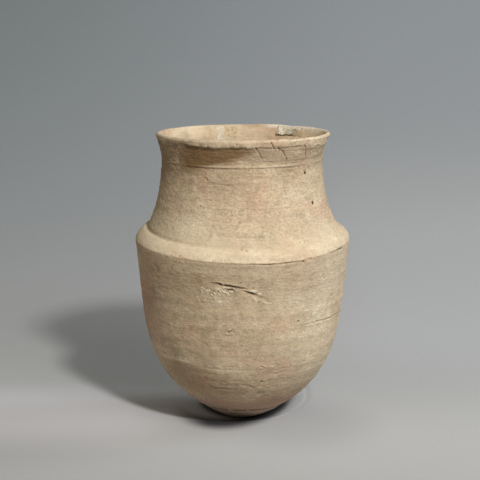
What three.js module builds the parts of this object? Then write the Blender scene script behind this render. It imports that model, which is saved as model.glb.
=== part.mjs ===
// A wheel-thrown earthenware jar: a round bottom with a small worn flat, a belly that rises to a sharp
// carination, a short sloping shoulder, a concave neck, a collar over a fine ridge, and a thickened lip.
// Two patches of lime from the ground still cling to the inside of the mouth.
// Millimetres, +Z up. The body's axis is the Z axis, the jar stands on Z = 0, and its front is -Y.
import * as THREE from "three";

const { clamp, degToRad, inverseLerp, lerp } = THREE.MathUtils;

// Heights, one above the other from the foot to the crest of the lip
const BODY_HEIGHT = 98.7; // the flat of the foot to the carination
const SHOULDER_HEIGHT = 6.3; // the carination to the groove at the root of the neck
const NECK_HEIGHT = 37.8; // the groove to the ridge
const COLLAR_HEIGHT = 14.3; // the ridge to the crest of the lip

// Radii of the outside
const FOOT_RADIUS = 10.4; // the flat that the jar stands on
const CARINATION_RADIUS = 58.5;
const NECK_ROOT_RADIUS = 52.3; // where the shoulder meets the neck
const NECK_RADIUS = 43.6; // the narrowest place, just under the ridge
const MOUTH_RADIUS = 47.3; // the widest place of the lip

// Thickness of the wall
const BODY_WALL = 5.5;
const NECK_WALL = 4.2;
const LIP_THICKNESS = 2.9;

// The belly's curve: how high its two pulls lie, and how far inside the carination
const LOW_PULL_HEIGHT = 22.8;
const LOW_PULL_INSET = 0.9;
const HIGH_PULL_HEIGHT = 52.6;
const HIGH_PULL_INSET = 5.9;

// The neck's curve: how far its two pulls lie in from the root and up from the groove
const NECK_LOW_PULL_IN = 3.9;
const NECK_LOW_PULL_UP = 8.3;
const NECK_HIGH_PULL_IN = 7.6;
const NECK_HIGH_PULL_UP = 15.1;

// Small features of the outside
const CARINATION_ROUNDING = 0.8; // how far the edge is worn back, above and below
const GROOVE_DEPTH = 0.9; // cut into the root of the neck
const GROOVE_WIDTH = 1.4;
const RIDGE_HEIGHT = 0.45; // the ridge stands out from the neck by this much
const RIDGE_WIDTH = 2.0;
const LIP_HEIGHT = 3.7; // the crest to the lower edge of the lip's outer face
const LIP_TAPER = 0.7; // the outer face draws in by this much down to that edge
const LIP_OVERHANG = 1.9; // the edge stands out from the collar by this much
const LIP_UNDERCUT = 0.8; // how far below the edge its underside meets the collar

// The jar is not quite true: its rings lean
const SHOULDER_LEAN = 2.2; // degrees, with the front of the shoulder lower
const MOUTH_LEAN = -2.4; // degrees, with the front of the mouth higher

// Lime inside the mouth: how far a patch's top and bottom lie under the crest of the lip,
// and how far it stands out from the wall
const THICK_LIME_TOP = 1.9;
const THICK_LIME_BOTTOM = 6.8;
const THICK_LIME_STANDS = 2.2;
const THIN_LIME_TOP = 2.4;
const THIN_LIME_BOTTOM = 9.0;
const THIN_LIME_STANDS = 0.9;
const LIME_EDGE = 0.35; // thickness of a patch along its edge
const LIME_GAP = 0.3; // the clearance between a patch and the wall

// Where a patch starts and ends round the wall, in degrees from +Y towards +X
const THICK_LIME_TURNS = [25, 55];
const THIN_LIME_TURNS = [-20, -7];

const ROUND_STEPS = 64; // facets round the jar

// Levels and radii that follow from the sizes above
const ROOT_LEVEL = BODY_HEIGHT + SHOULDER_HEIGHT;
const RIDGE_LEVEL = ROOT_LEVEL + NECK_HEIGHT;
const CREST_LEVEL = RIDGE_LEVEL + COLLAR_HEIGHT;
const NARROW_LEVEL = RIDGE_LEVEL - RIDGE_WIDTH / 2;
const LIP_BEAD = LIP_THICKNESS / 2; // radius of the rounded crest
const LIP_LEVEL = CREST_LEVEL - LIP_BEAD; // centre of that rounding
const LIP_CENTRE = MOUTH_RADIUS - LIP_BEAD;
const LIP_EDGE_LEVEL = CREST_LEVEL - LIP_HEIGHT;
const LIP_EDGE_RADIUS = MOUTH_RADIUS - LIP_TAPER;
const BORE_RADIUS = NECK_RADIUS - NECK_WALL; // the narrowest place inside

const point = (radius, height) => new THREE.Vector2(radius, height);
const clayMaterial = new THREE.MeshStandardMaterial({ color: 0xb89d76, roughness: 0.92, metalness: 0 });
const limeMaterial = new THREE.MeshStandardMaterial({ color: 0xcfc9ae, roughness: 0.97, metalness: 0 });

// The belly from the edge of the flat to just under the carination, as seen in section
const belly = new THREE.CubicBezierCurve(
  point(FOOT_RADIUS, 0),
  point(CARINATION_RADIUS - LOW_PULL_INSET, LOW_PULL_HEIGHT),
  point(CARINATION_RADIUS - HIGH_PULL_INSET, HIGH_PULL_HEIGHT),
  point(CARINATION_RADIUS, BODY_HEIGHT - CARINATION_ROUNDING),
);

// The shoulder, worn round at the carination and flatter towards the neck
const shoulder = new THREE.QuadraticBezierCurve(
  point(CARINATION_RADIUS - CARINATION_ROUNDING / 2, BODY_HEIGHT + CARINATION_ROUNDING),
  point(lerp(CARINATION_RADIUS, NECK_ROOT_RADIUS, 1 / 3), ROOT_LEVEL - SHOULDER_HEIGHT / 6),
  point(NECK_ROOT_RADIUS, ROOT_LEVEL),
);

// The hollow neck, from the top of the groove up to its narrowest place
const neck = new THREE.CubicBezierCurve(
  point(NECK_ROOT_RADIUS - GROOVE_DEPTH * 0.8, ROOT_LEVEL + GROOVE_WIDTH),
  point(NECK_ROOT_RADIUS - NECK_LOW_PULL_IN, ROOT_LEVEL + NECK_LOW_PULL_UP),
  point(NECK_ROOT_RADIUS - NECK_HIGH_PULL_IN, ROOT_LEVEL + NECK_HIGH_PULL_UP),
  point(NECK_RADIUS, NARROW_LEVEL),
);

// The thickened lip, from its underside up its outer face and over the crest to the inside
function lipPoints() {
  const steps = 6;
  const crest = Array.from({ length: steps + 1 }, (_, i) => {
    const angle = (Math.PI * i) / steps;
    return point(LIP_CENTRE + LIP_BEAD * Math.cos(angle), LIP_LEVEL + LIP_BEAD * Math.sin(angle));
  });
  return [
    point(LIP_EDGE_RADIUS - LIP_OVERHANG, LIP_EDGE_LEVEL - LIP_UNDERCUT),
    point(LIP_EDGE_RADIUS - LIP_OVERHANG / 6, LIP_EDGE_LEVEL - LIP_UNDERCUT / 4),
    point(LIP_EDGE_RADIUS, LIP_EDGE_LEVEL + LIP_UNDERCUT / 2),
    ...crest,
  ];
}

// The inside of the collar, from the lip down to the narrowest place of the bore
const collarInside = new THREE.QuadraticBezierCurve(
  point(LIP_CENTRE - LIP_BEAD, LIP_LEVEL),
  point(BORE_RADIUS + 1, LIP_LEVEL - COLLAR_HEIGHT * 0.3),
  point(BORE_RADIUS, NARROW_LEVEL),
);

// The inside of the belly lies one wall inside its outside, square to the curve
function bellyInsideAt(share) {
  const tangent = belly.getTangent(share);
  return belly.getPoint(share).add(point(-tangent.y, tangent.x).multiplyScalar(BODY_WALL));
}

// The inside has no sharp edge at the carination: it swings smoothly in to the neck
const INSIDE_SHARE = 0.93; // how much of the belly's curve the inside follows before it swings in
const FLOOR_STEPS = 10; // facets down the inside of the belly
const highestInside = bellyInsideAt(INSIDE_SHARE);
const neckInside = new THREE.CubicBezierCurve(
  point(BORE_RADIUS, NARROW_LEVEL),
  point(BORE_RADIUS, ROOT_LEVEL + NECK_HEIGHT / 5),
  point(highestInside.x, highestInside.y + SHOULDER_HEIGHT * 1.6),
  highestInside,
);

// The whole section, from the middle of the flat up the outside, over the lip and down to the floor
function jarSection() {
  const outside = [
    point(0, 0),
    ...belly.getPoints(15),
    ...shoulder.getPoints(4),
    point(NECK_ROOT_RADIUS - GROOVE_DEPTH, ROOT_LEVEL + GROOVE_WIDTH / 3),
    ...neck.getPoints(8),
    point(NECK_RADIUS + RIDGE_HEIGHT, RIDGE_LEVEL - RIDGE_WIDTH * 0.1),
    point(NECK_RADIUS + RIDGE_HEIGHT * 0.8, RIDGE_LEVEL + RIDGE_WIDTH * 0.2),
    point(NECK_RADIUS + RIDGE_HEIGHT * 0.3, RIDGE_LEVEL + RIDGE_WIDTH * 0.5),
  ];
  const floor = Array.from({ length: FLOOR_STEPS }, (_, i) => {
    const share = 1 - (i + 1) / FLOOR_STEPS;
    return bellyInsideAt(INSIDE_SHARE * share);
  });
  const inside = [...collarInside.getPoints(4).slice(1), ...neckInside.getPoints(8).slice(1), ...floor];
  const floorLevel = inside[inside.length - 1].y;
  return [...outside, ...lipPoints(), ...inside, point(0, floorLevel)];
}

// How far the rings lean at a height, in degrees
function leanAt(height) {
  if (height < BODY_HEIGHT) return (SHOULDER_LEAN * clamp(height, 0, BODY_HEIGHT)) / BODY_HEIGHT;
  const share = clamp(inverseLerp(ROOT_LEVEL, RIDGE_LEVEL, height), 0, 1);
  return lerp(SHOULDER_LEAN, MOUTH_LEAN, share);
}

// Moves a geometry that was laid out true to where the leaning jar has it
function leanGeometry(geometry) {
  const place = geometry.getAttribute("position");
  for (let i = 0; i < place.count; i += 1) {
    const y = place.getY(i);
    const z = place.getZ(i);
    place.setZ(i, z + Math.tan(degToRad(leanAt(z))) * y);
  }
  geometry.computeVertexNormals();
  return geometry;
}

function jarWall() {
  const geometry = new THREE.LatheGeometry(jarSection(), ROUND_STEPS);
  geometry.rotateX(Math.PI / 2);
  const mesh = new THREE.Mesh(leanGeometry(geometry), clayMaterial);
  mesh.name = "jar_wall";
  return mesh;
}

// The share of the collar's inside curve that lies this far under the middle of the lip
function shareAtDrop(drop) {
  let low = 0;
  let high = 1;
  for (let i = 0; i < 24; i += 1) {
    const middle = (low + high) / 2;
    if (LIP_LEVEL - collarInside.getPoint(middle).y < drop) low = middle;
    else high = middle;
  }
  return (low + high) / 2;
}

// A patch of lime on the inside of the collar: a block bent on to the wall, thickest in its middle
function limePatch(name, [from, to], top, bottom, stands) {
  const geometry = new THREE.BoxGeometry(1, 1, 1, 12, 5, 1);
  const place = geometry.getAttribute("position");
  const spot = point(0, 0);
  for (let i = 0; i < place.count; i += 1) {
    const across = place.getX(i) + 0.5;
    const up = place.getY(i) + 0.5;
    const free = place.getZ(i) > 0;
    const drop = lerp(bottom, top, up) - LIP_BEAD;
    collarInside.getPoint(shareAtDrop(drop), spot);
    const swell = Math.sin(Math.PI * across) ** 0.5 * Math.sin(Math.PI * (0.12 + 0.76 * up));
    const thickness = LIME_EDGE + (stands - LIME_EDGE) * swell;
    const radius = spot.x - LIME_GAP - (free ? thickness : 0);
    const turn = degToRad(lerp(from, to, across));
    place.setXYZ(i, radius * Math.sin(turn), radius * Math.cos(turn), spot.y);
  }
  const mesh = new THREE.Mesh(leanGeometry(geometry), limeMaterial);
  mesh.name = name;
  return mesh;
}

const jar = new THREE.Group();
jar.add(
  jarWall(),
  limePatch("lime_crust_thick", THICK_LIME_TURNS, THICK_LIME_TOP, THICK_LIME_BOTTOM, THICK_LIME_STANDS),
  limePatch("lime_crust_thin", THIN_LIME_TURNS, THIN_LIME_TOP, THIN_LIME_BOTTOM, THIN_LIME_STANDS),
);
export default jar;
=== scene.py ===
import math

import bpy
import numpy as np
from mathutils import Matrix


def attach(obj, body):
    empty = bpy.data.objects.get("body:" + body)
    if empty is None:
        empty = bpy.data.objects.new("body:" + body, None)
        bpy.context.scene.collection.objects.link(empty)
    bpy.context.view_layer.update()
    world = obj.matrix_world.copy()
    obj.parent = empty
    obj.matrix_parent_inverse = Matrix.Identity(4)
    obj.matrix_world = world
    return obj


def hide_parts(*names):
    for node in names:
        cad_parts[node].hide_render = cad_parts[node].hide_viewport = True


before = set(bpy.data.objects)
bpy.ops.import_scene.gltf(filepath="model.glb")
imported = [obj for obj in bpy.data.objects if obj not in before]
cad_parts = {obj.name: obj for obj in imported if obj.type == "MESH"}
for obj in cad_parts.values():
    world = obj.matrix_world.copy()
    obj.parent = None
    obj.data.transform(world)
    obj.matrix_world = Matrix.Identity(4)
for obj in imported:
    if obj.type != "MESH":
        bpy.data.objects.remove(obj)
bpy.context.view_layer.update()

# Lengths are in millimetres until a mesh is made. A place on the jar is given by its turn, in degrees
# from the front (-Y) towards +X, and by its height.
MM = 0.001

# ---- the jar's section ----
BODY_HEIGHT = 98.7  # the flat of the foot to the carination
SHOULDER_HEIGHT = 6.3
NECK_HEIGHT = 37.8
COLLAR_HEIGHT = 14.3
FOOT_RADIUS = 10.4
CARINATION_RADIUS = 58.5
NECK_ROOT_RADIUS = 52.3
NECK_RADIUS = 43.6
MOUTH_RADIUS = 47.3
BODY_WALL = 5.5
NECK_WALL = 4.2
LIP_THICKNESS = 2.9
CARINATION_ROUNDING = 0.8
EDGE_BEVEL = 0.3
GROOVE_WIDTH = 1.4
LIP_HEIGHT = 3.7
LIP_TAPER = 0.7
LIP_OVERHANG = 1.9
LIP_UNDERCUT = 0.8
INSIDE_SHARE = 0.93  # of the belly's curve, that the inside follows
SHOULDER_LEAN = 2.2  # degrees, with the front lower
MOUTH_LEAN = -2.4

ROOT_LEVEL = BODY_HEIGHT + SHOULDER_HEIGHT
RIDGE_LEVEL = ROOT_LEVEL + NECK_HEIGHT
CREST_LEVEL = RIDGE_LEVEL + COLLAR_HEIGHT
NARROW_LEVEL = RIDGE_LEVEL - 1.0
LIP_BEAD = LIP_THICKNESS / 2
LIP_LEVEL = CREST_LEVEL - LIP_BEAD
LIP_CENTRE = MOUTH_RADIUS - LIP_BEAD
LIP_EDGE_LEVEL = CREST_LEVEL - LIP_HEIGHT
LIP_EDGE_RADIUS = MOUTH_RADIUS - LIP_TAPER
BORE_RADIUS = NECK_RADIUS - NECK_WALL
# The mesh stays inside the solid's box by these limits
WIDEST = CARINATION_RADIUS - 0.03
HIGHEST = 158.95
# Spacing of a section's points, and the number of them that its corners are rounded over
PATH_GAP = 0.05
PATH_REACH = 6
# Where the bake map goes over from the outside to the inside, and the gap left there
BAKE_SPLIT = 0.545
BAKE_GAP = 0.008


def bezier(points, count=240):
    """Points along the Bezier curve that has these pulls."""
    share = np.linspace(0, 1, count)[:, None]
    rows = [np.tile(np.array(p, float), (count, 1)) for p in points]
    while len(rows) > 1:
        rows = [a + (b - a) * share for a, b in zip(rows, rows[1:])]
    return rows[0]


def normals(path):
    """Unit normals of a path in the section, to its right-hand side, which is outward here."""
    step = np.gradient(path, axis=0)
    step /= np.linalg.norm(step, axis=1)[:, None]
    return np.stack([step[:, 1], -step[:, 0]], 1)


def distances(path):
    """How far along the path its points lie."""
    return np.concatenate([[0], np.cumsum(np.linalg.norm(np.diff(path, axis=0), axis=1))])


def picked(path, length, at):
    return np.stack([np.interp(at, length, path[:, k]) for k in (0, 1)], 1)


def softened(*runs):
    """The runs joined into one path of evenly spaced points, with its corners rounded over."""
    path = np.vstack(runs)
    length = distances(path)
    path = picked(path, length, np.linspace(0, length[-1], int(length[-1] / PATH_GAP)))
    width = PATH_REACH * 3
    kernel = np.exp(-0.5 * (np.arange(-width, width + 1) / PATH_REACH) ** 2)
    kernel /= kernel.sum()
    out = path.copy()
    for k in (0, 1):
        padded = np.pad(path[:, k], width, mode="reflect", reflect_type="odd")
        out[:, k] = np.convolve(padded, kernel, "valid")
    return out


def belly(top):
    """The body's curve from the foot up to this height."""
    low_pull, high_pull = (CARINATION_RADIUS - 0.9, 22.8), (CARINATION_RADIUS - 5.9, 52.6)
    return bezier([(FOOT_RADIUS, 0), low_pull, high_pull, (CARINATION_RADIUS, top)])


def crest(start, end):
    """Part of the lip's round crest, between two shares of a half turn."""
    turn = np.linspace(math.pi * start, math.pi * end, 40)
    return np.stack([LIP_CENTRE + LIP_BEAD * np.cos(turn), LIP_LEVEL + LIP_BEAD * np.sin(turn)], 1)


def outside_section():
    shoulder = bezier([
        (CARINATION_RADIUS - EDGE_BEVEL, BODY_HEIGHT + EDGE_BEVEL),
        ((CARINATION_RADIUS * 2 + NECK_ROOT_RADIUS) / 3, ROOT_LEVEL - SHOULDER_HEIGHT / 6),
        (NECK_ROOT_RADIUS, ROOT_LEVEL),
    ])
    neck = bezier([
        (NECK_ROOT_RADIUS - 0.6, ROOT_LEVEL + GROOVE_WIDTH),
        (NECK_ROOT_RADIUS - 3.9, ROOT_LEVEL + 8.3),
        (NECK_ROOT_RADIUS - 7.6, ROOT_LEVEL + 15.1),
        (NECK_RADIUS, NARROW_LEVEL),
    ])
    lip = np.array([
        (NECK_RADIUS + 0.2, RIDGE_LEVEL + 1),
        (LIP_EDGE_RADIUS - LIP_OVERHANG, LIP_EDGE_LEVEL - LIP_UNDERCUT),
        (LIP_EDGE_RADIUS - LIP_OVERHANG / 6, LIP_EDGE_LEVEL - LIP_UNDERCUT / 4),
        (LIP_EDGE_RADIUS, LIP_EDGE_LEVEL + LIP_UNDERCUT / 2),
    ])
    return softened([(0, 0)], belly(BODY_HEIGHT - EDGE_BEVEL), shoulder, neck, lip, crest(0, 0.5))


def inside_section():
    pull = (BORE_RADIUS + 1, LIP_LEVEL - COLLAR_HEIGHT * 0.3)
    collar = bezier([(LIP_CENTRE - LIP_BEAD, LIP_LEVEL), pull, (BORE_RADIUS, NARROW_LEVEL)])
    outer = belly(BODY_HEIGHT - CARINATION_ROUNDING)
    floor = (outer - normals(outer) * BODY_WALL)[: int(len(outer) * INSIDE_SHARE)][::-1]
    neck = bezier([
        (BORE_RADIUS, NARROW_LEVEL),
        (BORE_RADIUS, ROOT_LEVEL + NECK_HEIGHT / 5),
        (floor[0, 0], floor[0, 1] + SHOULDER_HEIGHT * 1.6),
        tuple(floor[0]),
    ])
    path = softened(crest(0.5, 1), collar, neck, floor, [(0, floor[-1][1])])
    path[-1, 0] = 0
    return path


def rows_of(path, gap_at):
    """Points of the path, gap_at(height) millimetres apart, with their normals and how far along they lie."""
    length = distances(path)
    count = np.concatenate([[0], np.cumsum(np.diff(length) / gap_at(path[:-1, 1]))])
    at = np.interp(np.linspace(0, count[-1], int(round(count[-1])) + 1), count, length)
    return picked(path, length, at), picked(normals(path), length, at), at


# ---- random fields, always the same ----
def smooth_noise(points, size, seed):
    """Smooth values from -1 to 1 that change over about size millimetres."""
    rng = np.random.default_rng(seed)
    values = rng.uniform(-1, 1, 4096)
    order = rng.permutation(4096)
    place = points / size + 1000.0
    whole = np.floor(place).astype(np.int64)
    part = place - whole
    part = part * part * part * (part * (part * 6 - 15) + 10)
    out = np.zeros(len(points))
    for corner in range(8):
        shift = [(corner >> k) & 1 for k in range(3)]
        index = order[(whole[:, 0] + shift[0]) & 4095]
        index = order[(index + whole[:, 1] + shift[1]) & 4095]
        index = order[(index + whole[:, 2] + shift[2]) & 4095]
        weight = np.ones(len(points))
        for k in range(3):
            weight *= part[:, k] if shift[k] else 1 - part[:, k]
        out += weight * values[index]
    return out


def rough_noise(points, size, seed, octaves=3, fade=0.5):
    """Noise with finer and finer detail."""
    out = np.zeros(len(points))
    for k in range(octaves):
        out += fade**k * smooth_noise(points, size / 2**k, seed + k)
    return out


def wrapped(degrees):
    return (degrees + 180) % 360 - 180


def ramp(value, low, high):
    """0 below low, 1 above high, smooth between."""
    share = np.clip((value - low) / (high - low), 0, 1)
    return share * share * (3 - 2 * share)


def fall(value, low, high):
    return 1 - ramp(value, low, high)


def between(value, low, full, part, high):
    """1 from full to part, 0 below low and above high."""
    return ramp(value, low, full) * fall(value, part, high)


def window(value, low, high, edge):
    """1 between low and high, fading over edge to each side of both."""
    return between(value, low - edge, low + edge, high - edge, high + edge)


def hump(away, wide, power=2):
    return np.exp(-((away / wide) ** power))


def spot(turn, height, at, level, wide, tall):
    """1 at a place, fading over wide degrees and tall millimetres."""
    return np.exp(-((wrapped(turn - at) / wide) ** 2 + ((height - level) / tall) ** 2))


def round_curve(turn, knots):
    """A smooth closed curve through (degrees, value) knots, in rising order."""
    fine = np.linspace(-180, 180, 721)
    line = np.interp(fine, *np.array(knots, float).T, period=360)
    kernel = np.hanning(15)
    kernel /= kernel.sum()
    line = np.convolve(np.pad(line, 7, mode="wrap"), kernel, "valid")
    return np.interp(turn, fine, line)


# ---- what time did to the jar's surface, and the light and shade painted on it ----
# Round the jar, as (turn, value): where the carination and the groove really run
EDGE_LEVELS = [
    (-110, 99.0), (-60, 99.3), (-45, 99.0), (-10, 98.8), (5, 98.5), (20, 98.1), (30, 98.5), (40, 98.6),
    (50, 99.2), (62, 99.9), (110, 99.2),
]
ROOT_LEVELS = [(-110, 105.0), (-68, 105.2), (-40, 104.8), (0, 104.4), (28, 104.9), (59, 106.2), (110, 105.4)]
# How high the lip's lower edge stands
LIP_EDGES = [
    (-130, 153.6), (-90, 153.9), (-60, 154.4), (-54, 154.2), (-48, 153.9), (-39, 153.5), (-31, 153.0),
    (-25, 152.8), (-12, 153.0), (-2, 153.0), (4, 153.0), (14, 153.2), (22, 153.2), (26, 153.5), (37, 153.7),
    (46, 153.4), (61, 153.5), (72, 154.0), (90, 154.2), (130, 153.8),
]
# How far the hollow under the lip is filled
FILLED = [
    (-145, 0.0), (-130, 1.0), (-66, 1.0), (-45, 0.55), (-20, 0.2), (2, 0.2), (6, 0.6), (12, 0.55), (16, 0.25),
    (36, 0.25), (46, 0.4), (80, 0.4), (100, 0.0),
]
# How deep the groove is and how far the ridge stands out
GROOVE_DEPTHS = [
    (-150, 0.6), (-90, 1.0), (-45, 1.0), (-20, 0.7), (5, 0.35), (30, 0.15), (70, 0.1), (110, 0.3),
]
RIDGE_HEIGHTS = [
    (-150, 0.2), (-70, 0.08), (-48, 0.12), (-30, 0.36), (30, 0.42), (42, 0.24), (54, 0.12), (110, 0.2),
]

# The gash's three slits: turn, height, half width, how strong
GASH = [
    (-18.2, 86.8, 0.15, 0.25), (-14.2, 87.0, 0.32, 0.75), (-12.4, 86.6, 0.62, 1.0), (-10.9, 86.3, 0.55, 0.95),
    (-10.0, 86.0, 0.28, 0.5), (-9.2, 85.9, 0.62, 1.0), (-5.6, 85.4, 0.7, 1.0), (-3.2, 84.9, 0.7, 0.85),
    (-0.1, 84.6, 0.4, 0.9), (3.4, 84.0, 0.15, 0.3),
]
GASH_STUB = [
    (-8.5, 84.1, 0.2, 0.6), (-7.0, 83.6, 0.55, 1.0), (-5.6, 83.6, 0.5, 1.0), (-3.8, 83.4, 0.18, 0.4),
]
GASH_TAIL = [
    (-1.3, 83.7, 0.12, 0.3), (1.3, 82.8, 0.3, 0.6), (3.5, 81.9, 0.6, 0.85), (5.6, 81.3, 0.75, 1.0),
    (7.0, 80.9, 0.5, 0.6), (8.3, 79.9, 0.5, 0.2), (10.3, 79.0, 0.9, 0.14), (13.7, 77.2, 1.1, 0.14),
    (15.8, 75.9, 0.6, 0.05),
]
FLAKE = [(10.6, 76.9), (13.2, 75.9), (16.0, 75.0)]
COLLAR_CUTS = [
    [(8.4, 153.4), (10.7, 150.6), (12.5, 148.2), (14.0, 146.3)],
    [(18.6, 155.4), (21.0, 152.6), (22.6, 151.3)],
    [(24.0, 152.8), (26.6, 151.6), (29.1, 149.3), (31.5, 146.5), (33.0, 144.8)],
    [(45.0, 153.6), (46.8, 151.9), (48.2, 148.8), (50.4, 145.1)],
    [(67.2, 152.8), (69.2, 150.3)],
]
# The crack that follows the carination just under it, and how open it is
EDGE_CRACK = [
    (-34, 97.7), (-20, 97.6), (0, 97.6), (8, 97.7), (14, 97.5), (22, 97.7), (31, 97.4), (40, 97.5),
    (48, 97.6), (54, 97.5), (60, 97.4), (66, 97.2),
]
EDGE_OPENING = [
    (-34, 0.0), (-10, 0.15), (0, 0.35), (8, 0.9), (20, 0.75), (31, 0.85), (35, 0.3), (40, 0.15), (44, 0.35),
    (50, 0.15), (56, 0.4), (59, 1.0), (65, 1.0), (68, 0.0),
]
SCRATCHES = [
    [(86, 59.0), (75, 60.3), (66.7, 61.1), (59.2, 60.9), (47.6, 61.4), (37.5, 61.2), (31.3, 61.0), (26, 61)],
    [(-27, 26.4), (-22, 25.2), (-14, 24.7), (-7.5, 24.6), (1.5, 24.4)],
    [(-1, 27.9), (5, 26.8), (10, 24.6)],
    [(12.6, 39.0), (14.5, 37.4)],
    [(-27.8, 137.6), (-26.2, 136.6), (-24.2, 135.2)],
    [(-30, 134.2), (-18, 134.4), (-6, 134.0), (6, 134.1)],
    [(-6, 110.2), (8, 110.0), (17, 110.1)],
]
# Breaks in the lip's edge: turn, height
LIP_BREAKS = [(-43.0, 155.2), (-23.4, 154.2), (-4.1, 155.0), (18.8, 155.2), (9.0, 154.2), (36.0, 154.6)]
# Flecks: turn, height, half width in degrees, half height; first those that the gash tore up, mostly painted
# highlights on raised bits of torn clay
GASH_FLECKS = [
    (5.8, 83.1, 2.0, 0.5), (-8.4, 84.75, 2.0, 0.34), (-12.3, 76.8, 1.3, 0.6), (9.0, 81.4, 1.0, 0.5),
]
FLECKS = [
    (-4, 35.9, 5, 0.17), (-17.3, 27.9, 1.8, 0.35), (-1.5, 27.4, 1.6, 0.35), (1.5, 26.6, 1.4, 0.35),
    (4.0, 27.2, 1.2, 0.35), (-9, 26.6, 1.5, 0.25), (11.2, 29.9, 1.0, 0.5), (15.6, 30.6, 1.2, 0.5),
    (18.5, 33.8, 1.6, 0.6), (22, 32.8, 1.4, 0.8), (12, 25.6, 1.4, 0.6), (17, 39.3, 4.5, 0.3),
    (-7.2, 61.3, 1.3, 0.4), (-40, 39.7, 7, 0.5), (31, 64.4, 1.2, 0.5), (5, 104.6, 1.6, 0.6),
    (30, 108, 1.6, 0.5),
]
# Pits: turn, height, radius, depth, how dark their painted shade is; the mesh is fine round the sharp ones
SHARP_PITS = [
    (49.9, 138.3, 0.9, 0.8, 1.0), (55.6, 122.7, 1.1, 0.9, 1.0), (32.5, 63.9, 0.6, 0.7, 0.9),
    (-7.6, 59.9, 0.5, 0.5, 0.9), (-5.2, 61.4, 0.42, 0.5, 0.85), (12.1, 39.2, 0.45, 0.6, 0.7),
    (13.1, 29.5, 0.62, 0.8, 0.62), (33.2, 97.0, 0.6, 0.6, 0.9), (49.8, 85.4, 0.6, 0.4, 0.55),
    (-42.0, 9.8, 0.5, 0.4, 0.7), (18.4, 90.6, 0.4, 0.3, 0.6), (26.6, 90.9, 0.36, 0.3, 0.6),
]
PITS = [
    (-28.9, 123.1, 0.5, 0.5, 0.6), (-25.2, 136.2, 0.6, 0.4, 0.4), (4.2, 141.2, 0.5, 0.4, 0.5),
    (16.3, 140.7, 0.5, 0.4, 0.5), (15.6, 115.6, 0.5, 0.3, 0.3), (-10.5, 133.9, 0.5, 0.3, 0.4),
    (43.1, 141.4, 0.6, 0.4, 0.45), (53.5, 141.0, 0.6, 0.4, 0.4), (27.6, 86.9, 0.5, 0.25, 0.3),
    (29.4, 86.8, 0.5, 0.25, 0.35), (-6.4, 60.4, 0.5, 0.4, 0.5), (-6.7, 57.5, 0.5, 0.3, 0.35),
    (21.6, 65.6, 0.5, 0.3, 0.3), (41.6, 39.3, 0.5, 0.4, 0.4), (-0.5, 105.2, 0.5, 0.4, 0.4),
    (2.2, 104.6, 0.5, 0.4, 0.4), (-33, 92, 0.5, 0.3, 0.3), (-40, 70, 0.5, 0.3, 0.3), (58, 74, 0.5, 0.4, 0.35),
    (36, 52, 0.5, 0.4, 0.35), (64, 112, 0.5, 0.3, 0.3), (25.6, 151.7, 0.7, 0.5, 0.6),
    (28.2, 151.2, 0.5, 0.4, 0.5), (61.5, 151.8, 0.7, 0.5, 0.6),
]
# Patches of tone: mask, amount, (low, high, edge) of the height and of the turn, and how far they wander
PATCHES = [
    ("brown", 0.16, (40, 90, 6), (-48, -14, 14), 12),
    ("brown", 0.08, (66, 95, 5), (-62, -38, 8), 0),
    ("white", 0.14, (70, 96, 6), (34, 80, 10), 8),
    ("white", 0.15, (20, 40, 8), (28, 85, 12), 0),
    ("red", 0.5, (44, 78, 9), (-90, -55, 9), 8),
    ("pale", 0.16, (99.5, 125, 5), (20, 60, 12), 0),
    ("grey", 0.5, (140, 146, 2.5), (26, 90, 8), 0),
    # painted shade, partly stain: brown under the lip at the front left
    ("brown", 0.16, (130, 999, 8), (-52, -2, 14), 0),
    # the foot is paler, and painted light lightens it further, most on its left side
    ("white", 0.12, (-99, 18, 4), (-90, -25, 12), 0),
    ("white", 0.16, (-99, 8.5, 3.5), (-999, 999, 9), 0),
    ("pale", 0.42, (-99, 11, 5), (-999, 999, 9), 0),
]
# Round ones: mask, amount, turn, height, half width in degrees, half height
CLOUDS = [("brown", 0.08, -12, 55, 8, 8), ("pale", 0.2, 11, 55, 8, 8), ("red", 0.5, -22, 15, 9, 4)]
# Where the brown under the lip, partly stain and partly painted shade, and the darker foot of the wall end:
# turns, heights
STAIN_AND_SHADE_EDGE = ([-75, -50, -29, -14, 0, 20, 60], [134, 138, 141.5, 145, 147.5, 150, 151])
TIDE_EDGE = ([-80, -57, -35, -17, 0, 20], [38.5, 38.2, 38.6, 35.8, 31, 26])
# Lines left by the wheel: low, high, count, half width, depth, seed
OUTSIDE_LINES = [(14, 152, 150, 0.75, 0.042, 21), (106, 152, 90, 0.4, 0.06, 22), (22, 44, 36, 0.5, 0.045, 23)]
GASH_RADIUS = 57
FIBRE_SIZE = (0.5, 1.7, 1)  # of the torn clay's fibres: across them, along them
CREST_RADIUS = 47  # of the ring on which the crest's unevenness is read
CREST_ROWS = 9  # of the inside, over which the outside's push fades out
EDGE_MEAN = 98.3  # the level that EDGE_LEVELS are taken from
# The collar where the hollow under the lip is filled: levels, radii
FILLED_COLLAR = ([140, 144, 146, 148.3, 150.5, 153.7, 156], [43.6, 43.7, 44.0, 44.6, 45.4, 46.6, 47.2])
COMB_GAP = 1.35
MARK_REACH = 8.0  # how far from a path its marks are worked out
PIT_REACH = 4  # and from a pit


def arc_at(height):
    """Millimetres in one degree round the jar."""
    return math.radians(1) * np.interp(height, OUT_PATH[:, 1], OUT_PATH[:, 0])


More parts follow.
